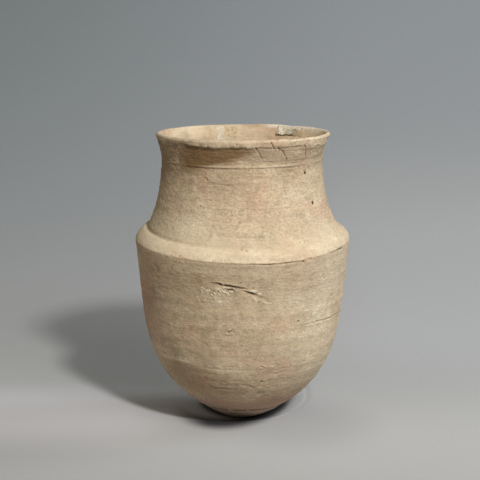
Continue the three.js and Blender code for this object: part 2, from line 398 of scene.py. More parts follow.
def along(path, turn, height):
    """For places near a path: which they are, how far above it they lie (below is less than 0), how far
    from it, and how far along it, 0 to 1."""
    knots = np.array(path, float)
    scale = arc_at(knots[:, 1].mean())
    low, high = knots.min(0), knots.max(0)
    near = np.nonzero(
        (turn > low[0] - MARK_REACH / scale) & (turn < high[0] + MARK_REACH / scale)
        & (height > low[1] - MARK_REACH) & (height < high[1] + MARK_REACH)
    )[0]
    place = np.stack([turn[near] * scale, height[near]], 1)
    flat = np.stack([knots[:, 0] * scale, knots[:, 1]], 1)
    start = distances(flat)
    lengths = np.diff(start)
    steps, offset = np.diff(flat, axis=0), place[:, None] - flat[:-1]
    t = np.clip((offset * steps).sum(2) / (steps * steps).sum(1), 0, 1)
    away = offset - t[..., None] * steps
    distance = np.hypot(away[..., 0], away[..., 1])
    closest = distance.argmin(1)
    here, step = (np.arange(len(near)), closest), steps[closest]
    above = away[here][:, 1] * abs(step[:, 0]) - away[here][:, 0] * np.sign(step[:, 0]) * step[:, 1]
    share = (start[closest] + t[here] * lengths[closest]) / start[-1]
    return near, np.sign(above) * distance[here], distance[here], share


def turning_lines(turn, height, low, high, count, width, depth, seed):
    """Lines left by the wheel: each runs part of the way round at its own level and fades at its ends."""
    rng = np.random.default_rng(seed)
    out = np.zeros(len(turn))
    for _ in range(count):
        level = rng.uniform(low, high)
        middle, reach = rng.uniform(-180, 180), rng.uniform(18, 120)
        tilt = rng.normal(0, 0.006)
        broad = width * rng.uniform(0.6, 1.7)
        deep = depth * rng.uniform(0.3, 1) * (1 if rng.random() < 0.35 else -1)
        near = np.nonzero(abs(height - level) < 4 * broad + 1)[0]
        away = wrapped(turn[near] - middle)
        across = (height[near] - level - tilt * away) / broad
        out[near] += deep * hump(across, 1) * fall(abs(away), reach * 0.5, reach)
    return out


def new_masks(count):
    return {name: np.zeros(count) for name in ("dark", "pale", "white", "grey", "red", "brown", "grain")}


def clipped(mask):
    return {name: np.clip(values, 0, 1) for name, values in mask.items()}


def wear_and_shading_outside(turn, height, place):
    """How far the outside stands out from the true section, and the masks that colour it, painted light and
    shade among them.
    """
    push = np.zeros(len(turn))
    mask = new_masks(len(turn))
    dark, pale, white, grey, red, brown, grain = mask.values()

    def smooth(size, seed, squash=1, near=slice(None)):
        """Smooth noise, this many times shorter along the height."""
        return smooth_noise(place[near] * (1, 1, squash), size, seed)

    def ragged(size, seed, octaves=3, squash=1):
        return rough_noise(place * (1, 1, squash), size, seed, octaves)

    def area(turns, levels, wander=0):
        """1 between two turns and two heights, each with its edge."""
        return window(turn + wander * stain, *turns) * window(height, *levels)

    def darken(near, share):
        dark[near] = np.maximum(dark[near], share)

    # the potter's hand: slow unevenness, the broad waves of throwing, and turning lines
    push += 0.28 * smooth(46, 11) + 0.14 * smooth(17, 12)
    wave = np.sin(height / 7.4 * 2 * math.pi + 1.1 * smooth(60, 13))
    push += 0.06 * wave * window(height, 20, 152, 6)
    for band in OUTSIDE_LINES:
        push += turning_lines(turn, height, *band)

    # worn skin: shallow scabs and rubbed places
    scab = ragged(5.5, 31, 4, 1.5)
    worn = ramp(smooth(30, 35) + 0.25 * np.sin(np.radians(turn - 20)), -0.1, 0.6)
    push -= 0.16 * ramp(scab, 0.35, 0.75) * (0.35 + 0.65 * worn)
    push += 0.05 * ragged(1.6, 36, 2) * (0.5 + 0.5 * worn)

    # rough, scratchy grain, most of all on the neck
    rough = 0.75 + 0.45 * window(height, 110, 152, 4) - 0.3 * window(height, 99, 108, 2)
    rough += 0.35 * fall(height, 10, 34)
    scratchy = ragged(2.0, 39, 2, 2.2)
    push += 0.11 * rough * scratchy
    grain += rough

    # brown under the lip on the left, partly a stain and partly painted shade of the lip's shadow, down to a
    # slanting edge, and more faintly further down
    stain = smooth(13, 37) + 0.5 * smooth(6, 38)
    down_to = np.interp(turn, *STAIN_AND_SHADE_EDGE) + 1.2 * stain
    front = between(turn, -130, -80, -10 + 8 * stain, 16 + 8 * stain)
    front *= 0.32 + 0.53 * ramp(turn, -52, -32)
    brown += front * between(height, down_to - 3.5, down_to + 3.0, 153.4, 154.4)
    brown += 0.2 * between(height, 120, 139, 153.2, 154) * (1 + 0.4 * stain)
    # streaks left by the hand that smoothed it, in the stain and its painted shade
    streaks = smooth(7, 48, 7) + 0.6 * smooth(3.5, 49, 9)
    brown += 0.27 * streaks * between(height, 139, 144, 153, 154) * front
    push += 0.12 * streaks * between(height, 143, 146, 152, 153.5)
    # painted shade darkens the wall under the carination; the wall is darker low on the left as well
    under_edge = fall(height, 97.9, 98.5)
    brown += 0.25 * window(height, 72, 98.2, 12) * under_edge * fall(turn, 60, 90) * ramp(turn, -72, -48)
    brown += 0.14 * window(height, 85, 110, 4) * under_edge * window(turn + 6 * stain, -34, 6, 9)
    tide = np.interp(turn, *TIDE_EDGE) + 0.8 * stain
    low_left = fall(height, tide - 1.6, tide + 1.2) * ramp(height, 13, 25)
    brown += 0.4 * low_left * window(turn + 8 * stain, -70, 2, 14)
    # patches all over, among them painted light on the foot, and the redder foot
    for name, amount, levels, turns, wander in PATCHES:
        mask[name] += amount * area(turns, levels, wander)
    for name, amount, at, level, wide, tall in CLOUDS:
        mask[name] += amount * spot(turn, height, at, level, wide, tall)
    red += 0.3 * window(turn, -80, -18, 9) * hump(height - 98.6, 0.8)
    red += 0.95 * fall(height + 1.5 * smooth(14, 91), 11, 19)
    # painted light: the shoulder and the root of the neck are painted pale, as lit from above, most so on the
    # left
    toward_left = between(turn, -170, -90, -60, 20)
    pale += window(height, 99.0, 105.2, 0.35) * (0.12 + 1.0 * toward_left) * (1 + 0.25 * stain)
    root = between(height, 105, 106, 108, 122)
    pale += root * (0.15 + 0.6 * toward_left) * (1 + 0.4 * stain)

    # painted light: the right of the body is painted paler; a scuffed patch on it is worn pale
    painted_light_right = area((30, 100, 14), (40, 99, 12), 6)
    scuffed = spot(turn, height, 45, 66, 12, 11)
    pale += painted_light_right * (0.2 + 0.1 * stain) + scuffed * (0.25 + 0.5 * ramp(scratchy, 0.1, 0.7))
    white += 0.6 * scuffed * ramp(scratchy + 0.4 * scab, 0.3, 0.9)

    # the groove at the neck's root: sharp below, at the shoulder's rim, and easing out above, with painted
    # shade in it
    above_rim = height - ROOT_LEVEL - 0.1
    groove = ramp(above_rim, -0.25, 0.35) * np.exp(-np.clip(above_rim, 0, None) / 1.9)
    groove_depth = round_curve(turn, GROOVE_DEPTHS)
    push -= groove * (groove_depth + 0.1 * ragged(6, 41, 2))
    push += 0.25 * ramp(groove_depth, 0.2, 0.9) * hump(above_rim + 0.7, 0.6)
    dark += 0.12 * groove * ramp(groove_depth, 0.3, 0.9)
    # the fine ridge under the collar, with a line scored on each side; painted shade darkens the lower line
    # and a painted highlight lightens the ridge
    ridge_height = round_curve(turn, RIDGE_HEIGHTS) * (0.85 + 0.3 * smooth(9, 42))
    from_ridge = height - (RIDGE_LEVEL - 0.2 + 0.1 * smooth(20, 43))
    push += ridge_height * hump(from_ridge, 0.42)
    push -= ridge_height * (0.5 * hump(from_ridge + 0.85, 0.36) + 0.4 * hump(from_ridge - 1.1, 0.5))
    painted_line_shade = hump(from_ridge + 0.85, 0.3) * ramp(smooth(5, 44), -0.5, 0.3)
    dark += 0.34 * painted_line_shade * window(turn, -40, 45, 8)
    pale += 0.5 * hump(from_ridge, 0.4) * window(turn, -30, 40, 8)

    # a smeared skin of clay on the collar's right half, ending in a low step
    step_level = 145.3 + 0.35 * smooth(7, 45) + 0.012 * (turn - 30)
    skin = window(turn, 3, 78, 4) * ramp(height - step_level, -0.3, 0.3) * fall(height, 152.6, 153.4)
    push += 0.28 * skin
    grey += 0.9 * skin * (0.8 + 0.25 * smooth(6, 46))
    # combed upright at its right end, with painted shade in the comb's grooves; there clay also fills the
    # undercut of the lip
    comb = np.sin(np.radians(turn) * 43 / COMB_GAP * 2 * math.pi + 2.2 * smooth(5, 47))
    combed = area((51, 76, 3), (144.5, 153, 0.8))
    push += 0.12 * comb * combed
    dark += 0.22 * combed * ramp(-comb, 0.4, 0.95)
    push += 0.7 * window(turn, 47, 80, 5) * between(height, 149.5, 152, 152.6, 153.3)

    # carination: rubbed and nicked
    edge = hump(height - BODY_HEIGHT, 1.5)
    nick = ragged(4.2, 51)
    push -= edge * (0.1 + 0.5 * ramp(nick, 0.35, 0.8) + 0.12 * nick)
    pale += 0.35 * edge * ramp(ragged(9, 52), -0.2, 0.5)

    # the lip: chipped along its outer edge, rough under it, with a painted highlight, white, along its crest
    # at the back right
    lip = ramp(height, 151.6, 152.6)
    chip = ragged(3.2, 61)
    push -= hump(height - LIP_EDGE_LEVEL - 0.3, 1.1) * (0.3 * ramp(chip, 0.3, 0.75) + 0.07 * chip)
    push += 0.07 * lip * ragged(2.4, 62, 2)
    pale += 0.35 * lip * ramp(ragged(5, 63), -0.3, 0.6)
    crumbs = area((-8, 36, 5), (150.9, 152.4, 0.4))
    push += 0.2 * crumbs * ramp(ragged(1.8, 64, 2), 0.15, 0.6)
    white += 0.9 * window(wrapped(180 - turn), 17, 84, 5) * ramp(height, 156.0, 157.0)
    for at, level in LIP_BREAKS:
        push -= 0.4 * spot(turn, height, at, level, 0.6, 0.8)
    for fleck in FLECKS:
        here = spot(turn, height + 0.3 * scratchy, *fleck)
        pale += 0.9 * here
        push += 0.1 * here

    # the gash: torn slits with a raised edge above and a ragged, fibrous hollow below; painted shade darkens
    # the slits and a painted highlight runs along the raised edge
    wobble = 0.2 * ragged(1.3, 70, 2)
    for path in (GASH, GASH_STUB, GASH_TAIL):
        near, above, distance, share = along([k[:2] for k in path], turn, height + wobble)
        at, _, half_width, strength = np.array(path).T
        broad = np.interp(turn[near], at, half_width)
        strong = np.interp(turn[near], at, strength) * between(share, 0, 0.06, 0.94, 1)
        push[near] -= (0.35 + broad) * hump(distance, broad) * strong
        push[near] += 0.24 * hump(above - broad - 0.55, 0.45) * strong
        push[near] -= 0.28 * strong * (above < 0) * np.exp(above / 1.8)
        darken(near, 0.68 * hump(distance, broad * 1.15, 4) * strong)
        pale[near] += 0.5 * hump(above - broad - 0.5, 0.3) * strong
    across = math.radians(1) * GASH_RADIUS * turn
    slanting = [0.82 * across + 0.57 * height, 0.57 * across - 0.82 * height, 0 * turn]
    slanting = np.stack(slanting, 1) / FIBRE_SIZE
    fibre = smooth_noise(slanting, 1.0, 71) + 0.5 * smooth_noise(slanting * 1.9, 1.0, 72)
    # the torn clay is paler, and painted light and shade follow its fibres: pale where raised, dark where low
    torn = area((-24, -4, 2.5), (80.2, 84.2, 1.0))
    torn += area((5, 11.5, 1.8), (76.2, 79.4, 1.0))
    torn += 0.35 * area((-26, -8, 5), (75, 80, 2.5))
    torn *= 0.75 + 0.5 * smooth(2.6, 77)
    push += 0.3 * torn * fibre
    pale += 1.25 * torn * ramp(fibre, 0.1, 0.5)
    white += 0.34 * torn * ramp(fibre, 0.3, 0.7)
    dark += 0.5 * torn * ramp(-fibre, 0.15, 0.7)
    # painted highlight along the flake's raised edge
    near, above, distance, share = along(FLAKE, turn, height + wobble)
    edge = hump(distance, 0.4) * between(share, 0, 0.2, 0.8, 1)
    push[near] += 0.22 * edge
    pale[near] += 0.9 * edge
    # mostly painted highlights on raised bits of torn clay
    for torn_up in GASH_FLECKS:
        here = spot(turn, height + wobble, *torn_up)
        push += 0.2 * here
        pale += 1.3 * here
        white += 0.6 * here

    # cuts in the collar, the crack under the carination, and scratches, all darkened by painted shade; the
    # cuts' lit sides carry a painted highlight
    for path in COLLAR_CUTS:
        near, above, distance, share = along(path, turn, height)
        ends = fall(share, 0.8, 1)
        uneven = 0.75 + 0.4 * smooth(1.6, 75, near=near)
        left_of = above * (1 if path[-1][1] > path[0][1] else -1)
        push[near] -= 0.55 * hump(distance, 0.38) * ends * uneven
        push[near] += 0.16 * hump(left_of - 0.65, 0.35) * ends
        darken(near, 0.85 * hump(distance, 0.36) * ends * uneven)
        pale[near] += 0.4 * hump(left_of - 0.65, 0.3) * ends
    near, above, distance, share = along(EDGE_CRACK, turn, height + 0.12 * ragged(5, 76, 2))
    opening = np.interp(turn[near], *np.array(EDGE_OPENING).T)
    opening *= 0.8 + 0.5 * smooth(3, 73, near=near)
    push[near] -= 0.45 * hump(distance, 0.42) * opening
    push[near] += 0.15 * hump(above + 1.2, 0.6) * opening
    darken(near, 0.9 * hump(distance, 0.36) * np.clip(opening, 0, 1))
    for path in SCRATCHES:
        near, above, distance, share = along(path, turn, height)
        ends = between(share, 0, 0.2, 0.7, 1)
        uneven = 0.7 + 0.5 * smooth(5, 74, near=near)
        push[near] -= 0.24 * hump(distance, 0.5) * ends * uneven
        push[near] += 0.08 * hump(distance - 1.1, 0.5) * ends
        darken(near, 0.3 * hump(distance, 0.4) * ends * uneven)

    # pits: those that the front shows, and chance ones on the rest, darkened by painted shade
    pits = SHARP_PITS + PITS
    rng = np.random.default_rng(81)
    for _ in range(90):
        turn_at = rng.uniform(-180, 180)
        if abs(turn_at) < 62:
            continue
        size = rng.uniform(0.35, 0.75)
        level = rng.uniform(14, 150)
        pits.append((turn_at, level, size, size * rng.uniform(0.4, 0.9), rng.uniform(0.2, 0.7)))
    for turn_at, level, radius, deep, shade in pits:
        near = np.nonzero(abs(height - level) < PIT_REACH)[0]
        across = wrapped(turn[near] - turn_at) * arc_at(level)
        close = abs(across) < PIT_REACH
        near, across = near[close], across[close]
        distance = np.hypot(across, (height[near] - level) * 1.15)
        distance *= 1 + 0.25 * smooth(1.0, 82, near=near)
        push[near] -= deep * hump(distance, radius)
        darken(near, shade * hump(distance, radius * 0.95, 4))

    # a dark broken ring round the foot, whose flat is left true
    ring = hump(height - 7.3 - 0.4 * smooth(12, 92), 0.9)
    ring *= ramp(ragged(3.2, 93, 2), -0.75, 0.1)
    dark += 0.58 * ring
    push -= 0.22 * ring
    push *= ramp(height, 0.0, 1.6)
    return push, clipped(mask)


def wear_and_shading_inside(turn, height, place):
    """The same for the inside."""
    mask = new_masks(len(turn))
    push = 0.22 * smooth_noise(place, 30, 101) + 0.1 * rough_noise(place, 7, 102, 3)
    push += turning_lines(turn, height, 20, 154, 150, 1.4, 0.16, 103)
    push += 0.06 * rough_noise(place, 2.0, 104, 2) * ramp(height, 138, 146)
    # earth and lime dust that the mouth kept, over the crest as well, and a painted highlight along the crest
    # at the back right; back is degrees from the back to +X
    back = wrapped(180 - turn)
    dust = window(back, -75, -12, 10) * ramp(height, 146, 150) * (1 - 0.7 * ramp(height, 154.5, 156))
    mask["pale"] += 0.35 * dust * ramp(rough_noise(place, 9, 105), -0.5, 0.5)
    stain = window(back, -22, -5, 2.5) * ramp(height, 140, 148)
    mask["grey"] += 0.7 * stain * ramp(rough_noise(place, 5, 106), -0.6, 0.3)
    mask["pale"] += 0.4 * stain
    rim = window(back, -56, -22, 3) * ramp(height, 154.5, 156.5)
    mask["pale"] += 0.7 * rim * ramp(rough_noise(place, 5, 107), -0.6, 0.3)
    # painted highlight: white along the crest's top at the back right
    lime = window(back, 17, 84, 5) * ramp(height, 154.9, 156.2)
    mask["white"] += lime * (0.85 + 0.3 * smooth_noise(place, 6, 108))
    mask["pale"] += 0.35 * window(back, 40, 75, 12) * ramp(height, 138, 146)
    return push, clipped(mask)


def lean_at(height):
    """The lean, in degrees, of the ring at this height."""
    low = SHOULDER_LEAN * np.clip(height, 0, BODY_HEIGHT) / BODY_HEIGHT
    share = np.clip((height - ROOT_LEVEL) / NECK_HEIGHT, 0, 1)
    return np.where(height < BODY_HEIGHT, low, SHOULDER_LEAN + (MOUTH_LEAN - SHOULDER_LEAN) * share)


def lean(points, level):
    """Moves true places, whose rings lie at these levels, to where the leaning jar has them."""
    out = points.copy()
    out[:, 2] += np.tan(np.radians(lean_at(level))) * points[:, 1]
    return out


OUT_PATH = outside_section()
IN_PATH = inside_section()


def on_ring(radius, turn, height):
    angle = np.radians(turn)
    return np.stack([radius * np.sin(angle), -radius * np.cos(angle), height], 1)


def grid_faces(tall, wide, closed=False):
    """The faces of a grid of points, given row by row; a closed one runs all the way round."""
    row, column = np.meshgrid(np.arange(tall - 1), np.arange(wide if closed else wide - 1), indexing="ij")
    here, there = row * wide + column, row * wide + (column + 1) % wide
    return np.stack([here, there, there + wide, here + wide], -1).reshape(-1, 4)


def mesh_object(name, points, faces, uvs=None, masks=None):
    """A smooth mesh in metres from points in millimetres; faces is a list of arrays of corners."""
    mesh = bpy.data.meshes.new(name)
    sizes = np.concatenate([np.full(len(part), part.shape[1]) for part in faces])
    loops = np.concatenate([part.ravel() for part in faces])
    mesh.vertices.add(len(points))
    mesh.vertices.foreach_set("co", (points * MM).astype(np.float32).ravel())
    mesh.loops.add(len(loops))
    mesh.loops.foreach_set("vertex_index", loops.astype(np.int32))
    mesh.polygons.add(len(sizes))
    starts = np.concatenate([[0], np.cumsum(sizes)[:-1]])
    mesh.polygons.foreach_set("loop_start", starts.astype(np.int32))
    mesh.polygons.foreach_set("use_smooth", np.ones(len(sizes), bool))
    mesh.update(calc_edges=True)
    if uvs is not None:
        layer = mesh.uv_layers.new(name="OFBake")
        layer.uv.foreach_set("vector", uvs.astype(np.float32).ravel())
    for key, values in (masks or {}).items():
        layer = mesh.attributes.new(key, "FLOAT", "POINT")
        layer.data.foreach_set("value", values.astype(np.float32))
    mesh.validate()
    obj = bpy.data.objects.new(name, mesh)
    bpy.context.scene.collection.objects.link(obj)
    return obj


def columns():
    """Turns of the mesh's columns: close together over the front, closest where the marks are."""
    at = np.linspace(-180, 180, 3601)
    gap = np.full(len(at), 1.1)
    gap = np.where(abs(at) < 84, 0.5, gap)
    gap = np.where((at > -30) & (at < 58), 0.34, gap)
    gap = np.convolve(np.pad(gap, 30, mode="wrap"), np.hanning(61) / np.hanning(61).sum(), "valid")
    gap = np.where((at > -22) & (at < -3), 0.22, gap)
    for pit in SHARP_PITS:
        gap = np.where(abs(at - pit[0]) < 0.8, 0.15, gap)
    count = np.concatenate([[0], np.cumsum(np.diff(at) / gap[:-1])])
    total = int(round(count[-1]))
    return np.interp(np.arange(total) * count[-1] / total, count, at)


def outside_gap(height):
    gap = np.full(len(height), 0.6)
    for low, high, fine in (
        (75, 88, 0.32), (79.5, 87.4, 0.22), (96.5, 101, 0.3), (106, 200, 0.48), (144, 200, 0.34),
        (RIDGE_LEVEL - 2.0, RIDGE_LEVEL + 1.2, 0.25), (35.1, 37.5, 0.25),
    ):
        gap = np.where((height > low) & (height < high), fine, gap)
    for pit in SHARP_PITS:
        gap = np.where(abs(height - pit[1]) < 0.8, 0.17, gap)
    return np.where(height < 6, 0.8, gap)


def inside_gap(height):
    return np.interp(height, [100, 138, 147, 154], [2.6, 1.2, 0.7, 0.45])


def laid(turns, rows, side, wear_and_shading):
    """A grid over rows of the section: its turns, radii, levels, normals, push and masks."""
    wide = len(turns)
    turn = np.tile(turns, len(rows))
    radius, level = np.repeat(rows[:, 0], wide), np.repeat(rows[:, 1], wide)
    push, mask = wear_and_shading(turn, level, on_ring(radius, turn, level))
    return turn, radius, level, np.repeat(side, wide, axis=0), push, mask


def bake_map(turns, tall_out, out_at, in_at):
    """The outside below, the inside above, with the seam at the back."""
    across = (turns + 180) / 360
    beyond = np.append(across[1:], 1.0)
    up_out = out_at / out_at[-1] * BAKE_SPLIT
    up_in = BAKE_SPLIT + BAKE_GAP + in_at / in_at[-1] * (1 - BAKE_SPLIT - BAKE_GAP)
    level = np.concatenate([up_out[1:], up_in[1:-1]])
    low, high = level[:-1].copy(), level[1:]
    low[tall_out - 1] = up_in[0]
    left, right = np.tile(across, len(low)), np.tile(beyond, len(low))
    low, high = np.repeat(low, len(turns)), np.repeat(high, len(turns))
    middle, zero = (across + beyond) / 2, 0 * across
    return np.vstack([np.stack(part, 1).reshape(-1, 2) for part in (
        (left, low, right, low, right, high, left, high),
        (middle, zero, beyond, zero + level[0], across, zero + level[0]),
        (middle, zero + 1, across, zero + level[-1], beyond, zero + level[-1]),
    )])


def make_jar():
    """The jar as one closed mesh, and the radii of its inside for what clings to it."""
    turns = columns()
    wide = len(turns)
    out_rows, out_side, out_at = rows_of(OUT_PATH, outside_gap)
    in_rows, in_side, in_at = rows_of(IN_PATH, inside_gap)
    outside = laid(turns, out_rows[1:], out_side[1:], wear_and_shading_outside)
    inside = laid(turns, in_rows[1:-1], in_side[1:-1], wear_and_shading_inside)
    tall_out, tall_in = len(out_rows) - 1, len(in_rows) - 2
    tall = tall_out + tall_in
    turn, radius, level, side, push = (np.concatenate(pair) for pair in zip(outside[:5], inside[:5]))
    mask = {key: np.concatenate([outside[5][key], inside[5][key], [0, 0]]) for key in outside[5]}
    outer = np.arange(len(turn)) < tall_out * wide
    # both weatherings meet at the crest
    pushes = push.reshape(tall, wide)
    fade = np.clip(1 - np.arange(tall_in) / CREST_ROWS, 0, 1)[:, None]
    pushes[tall_out:] = pushes[tall_out:] * (1 - fade) + pushes[tall_out - 1] * fade

    # the rings wander up and down, and the lip's lower edge does so most
    sine, zero = np.sin(np.radians(turn)), 0 * turn
    lift = (round_curve(turn, EDGE_LEVELS) - EDGE_MEAN) * hump(level - BODY_HEIGHT, 4.0)
    lift += (round_curve(turn, ROOT_LEVELS) - ROOT_LEVEL) * hump(level - ROOT_LEVEL, 4.0) * 0.7
    uneven = smooth_noise(np.stack([turn * 0.8, zero, zero], 1), 3.0, 111)
    ragged = round_curve(turn, LIP_EDGES) - LIP_EDGE_LEVEL + 0.28 * ramp(180 - abs(turn), 0, 20) * uneven
    lift += outer * ragged * hump(level - LIP_EDGE_LEVEL, np.where(level > LIP_EDGE_LEVEL, 1.7, 3.0))
    uneven = smooth_noise(on_ring(CREST_RADIUS, turn, zero) * (1, -1, 1), 14, 112)
    crest = ramp(level, 150, 157) * (0.16 * uneven + 0.27 * sine)
    lift += crest

    # where the hollow under the lip is filled the collar swings out without a step
    flared = np.interp(level, *FILLED_COLLAR)
    share = outer * between(level, 142, 145, 154.2, 155.8) * round_curve(turn, FILLED)
    radius += (flared - radius) * share
    side[:, 1] *= 1 - share
    side[:, 0] += (1 - side[:, 0]) * share

    # the mouth stands off to the right, and is a little narrower than its section
    radius += push * side[:, 0] + ramp(level, 146, 156) * (0.37 * sine - 0.15)
    radius = np.where(outer, np.minimum(radius, WIDEST), radius)
    rise = level + push * side[:, 1] + np.where(outer, lift, crest)
    points = lean(on_ring(radius, turn, rise), level)
    points[:, 2] = np.minimum(points[:, 2], HIGHEST)

    # the foot and the inside's floor are closed by fans; neither middle leans
    points = np.vstack([points, [(0, 0, 0), (0, 0, in_rows[-1, 1])]])
    foot, floor, top = len(points) - 2, len(points) - 1, (tall - 1) * wide
    ring, beyond = np.arange(wide), (np.arange(wide) + 1) % wide
    faces = [
        grid_faces(tall, wide, closed=True),
        np.stack([np.full(wide, foot), beyond, ring], 1),
        np.stack([np.full(wide, floor), top + ring, top + beyond], 1),
    ]
    inner = (in_rows[1:-1, 1], radius.reshape(tall, wide)[tall_out:], turns)
    return mesh_object("jar", points, faces, bake_map(turns, tall_out, out_at, in_at), mask), inner


# ---- lime inside the mouth ----
LIME_GRID = 200, 90  # points across and up
LIME_LEAST = 0.04  # thinner than this it ends
LIME_DIP = 0.35  # how deep its face lies in the wall where it ends
LIME_ROOT = 0.8  # how deep its back lies in the wall
LIME_SAG = 0.35  # how far it hangs, as a share of its thickness


def wall_at(inner, turn, level):
    """The inside's radius."""
    levels, radii, turns = inner
    row = np.interp(-level, -levels, np.arange(len(levels)))
    column = np.interp(turn, turns, np.arange(len(turns)))
    r, c = np.floor(row).astype(int), np.floor(column).astype(int)
    r2, c2 = np.minimum(r + 1, len(levels) - 1), (c + 1) % len(turns)
    fr, fc = row - r, column - c
    top, low = (radii[k, c] * (1 - fc) + radii[k, c2] * fc for k in (r, r2))
    return top * (1 - fr) + low * fr


def lime_patch(name, inner, start, end, top, bottom, thickness, seed):
    """A crust on the wall, between two turns (degrees from the back towards +X) and two levels."""
    wide, tall = LIME_GRID
    u, v = (k.ravel() for k in np.meshgrid(np.linspace(0, 1, wide), np.linspace(0, 1, tall)))
    turn = wrapped(180 - start - (end - start) * u)
    level = bottom + (top - bottom) * v
    base = wall_at(inner, turn, level)
    thick, masks = thickness(u, v, on_ring(base, turn, level), seed)
    thick *= ramp(np.minimum.reduce([u * 7, (1 - u) * 7, v * 3.5, (1 - v) * 9]), 0, 1)
    front_radius = np.where(thick < LIME_LEAST, base + LIME_DIP, base - thick)
    sag = LIME_SAG * thick * (1 - v)
    points = np.vstack([
        lean(on_ring(front_radius, turn, level - sag), level - sag),
        lean(on_ring(base + LIME_ROOT, turn, level), level),
    ])
    front = grid_faces(tall, wide)
    border = np.concatenate([
        np.arange(wide - 1), (np.arange(tall - 1) * wide + wide - 1),
        (tall - 1) * wide + np.arange(wide - 1, 0, -1), np.arange(tall - 1, 0, -1) * wide,
    ])
    after, behind = np.roll(border, -1), wide * tall
    sides = np.stack([after, border, border + behind, after + behind], 1)
    masks = {key: np.tile(value, 2) for key, value in masks.items()}
    return mesh_object(name, points, [front, front[:, [0, 3, 2, 1]] + behind, sides], None, masks)


def thick_lime(u, v, place, seed):
    """A knobbly crust, thickest on the left, with soil and painted shade in the hollows under it."""
    lumps = np.abs(smooth_noise(place, 2.1, seed)) + 0.5 * np.abs(smooth_noise(place, 1.0, seed + 1))
    ragged = rough_noise(place, 3.0, seed + 2, 3)
    knobs = 1.5 * hump(u - 0.14, 0.14) * hump(v - 0.58, 0.46)
    knobs += 1.15 * hump(u - 0.42, 0.13) * hump(v - 0.68, 0.44)
    crust = 0.5 * ramp(u, 0.02, 0.1) * fall(u + 0.12 * ragged, 0.56, 0.72)
    film = 0.28 * fall(u + 0.2 * ragged, 0.75, 0.97)
    thick = (knobs + 0.25 * ragged * crust) * (0.6 + 0.7 * lumps)
    thick = np.maximum(np.clip(thick, 0, None) + crust, film)
    low = 0.08 + 0.06 * ramp(u, 0.2, 0.4) + 0.1 * ragged
    thick *= ramp(v - low, 0.0, 0.2)
    under = ramp(0.3 + low - v, 0.0, 0.16) * ramp(knobs, 0.1, 0.5)
    valley = crust * fall(knobs, 0.35, 0.9)
    below = fall(v + 0.08 * ragged, 0.7, 0.84)
    return thick, {
        "earth": np.clip(0.8 * under + 0.9 * valley * below + 0.5 * ramp(0.32 - lumps, 0, 0.3), 0, 1),
        "green": below * ramp(u + 0.1 * ragged, 0.24, 0.34),
        "fade": below * ramp(u + 0.15 * ragged, 0.54, 0.68),
    }


def thin_lime(u, v, place, seed):
    """A film with a sharp left edge that breaks up into specks on the right."""
    ragged = rough_noise(place, 2.2, seed, 4)
    fine = rough_noise(place, 1.1, seed + 3, 2)
    broad = smooth_noise(place, 5.0, seed + 5)
    cover = 0.75 - 0.9 * u + 0.3 * broad + 0.3 * ragged + 0.5 * fine * ramp(u, 0.1, 0.45)
    thick = 0.2 * ramp(cover, -0.1, 0.3) * (0.75 + 0.5 * np.abs(smooth_noise(place, 1.1, seed + 7)))
    thick *= ramp(u, 0.01, 0.03)
    return thick, {
        "earth": 0.3 * ramp(fine, 0.0, 0.5) * ramp(u, 0.15, 0.5),
        "green": 0.25 + 0 * u,
        "fade": np.clip(ramp(u + 0.25 * ragged + 0.15 * fine, 0.25, 0.7), 0, 0.9),
    }


# ---- materials ----
def srgb(red, green, blue):
    """A colour as a screen shows it, 0 to 255, in the linear values that Blender takes."""
    shown = [c / 255 for c in (red, green, blue)]
    return (*(c / 12.92 if c <= 0.04045 else ((c + 0.055) / 1.055) ** 2.4 for c in shown), 1.0)


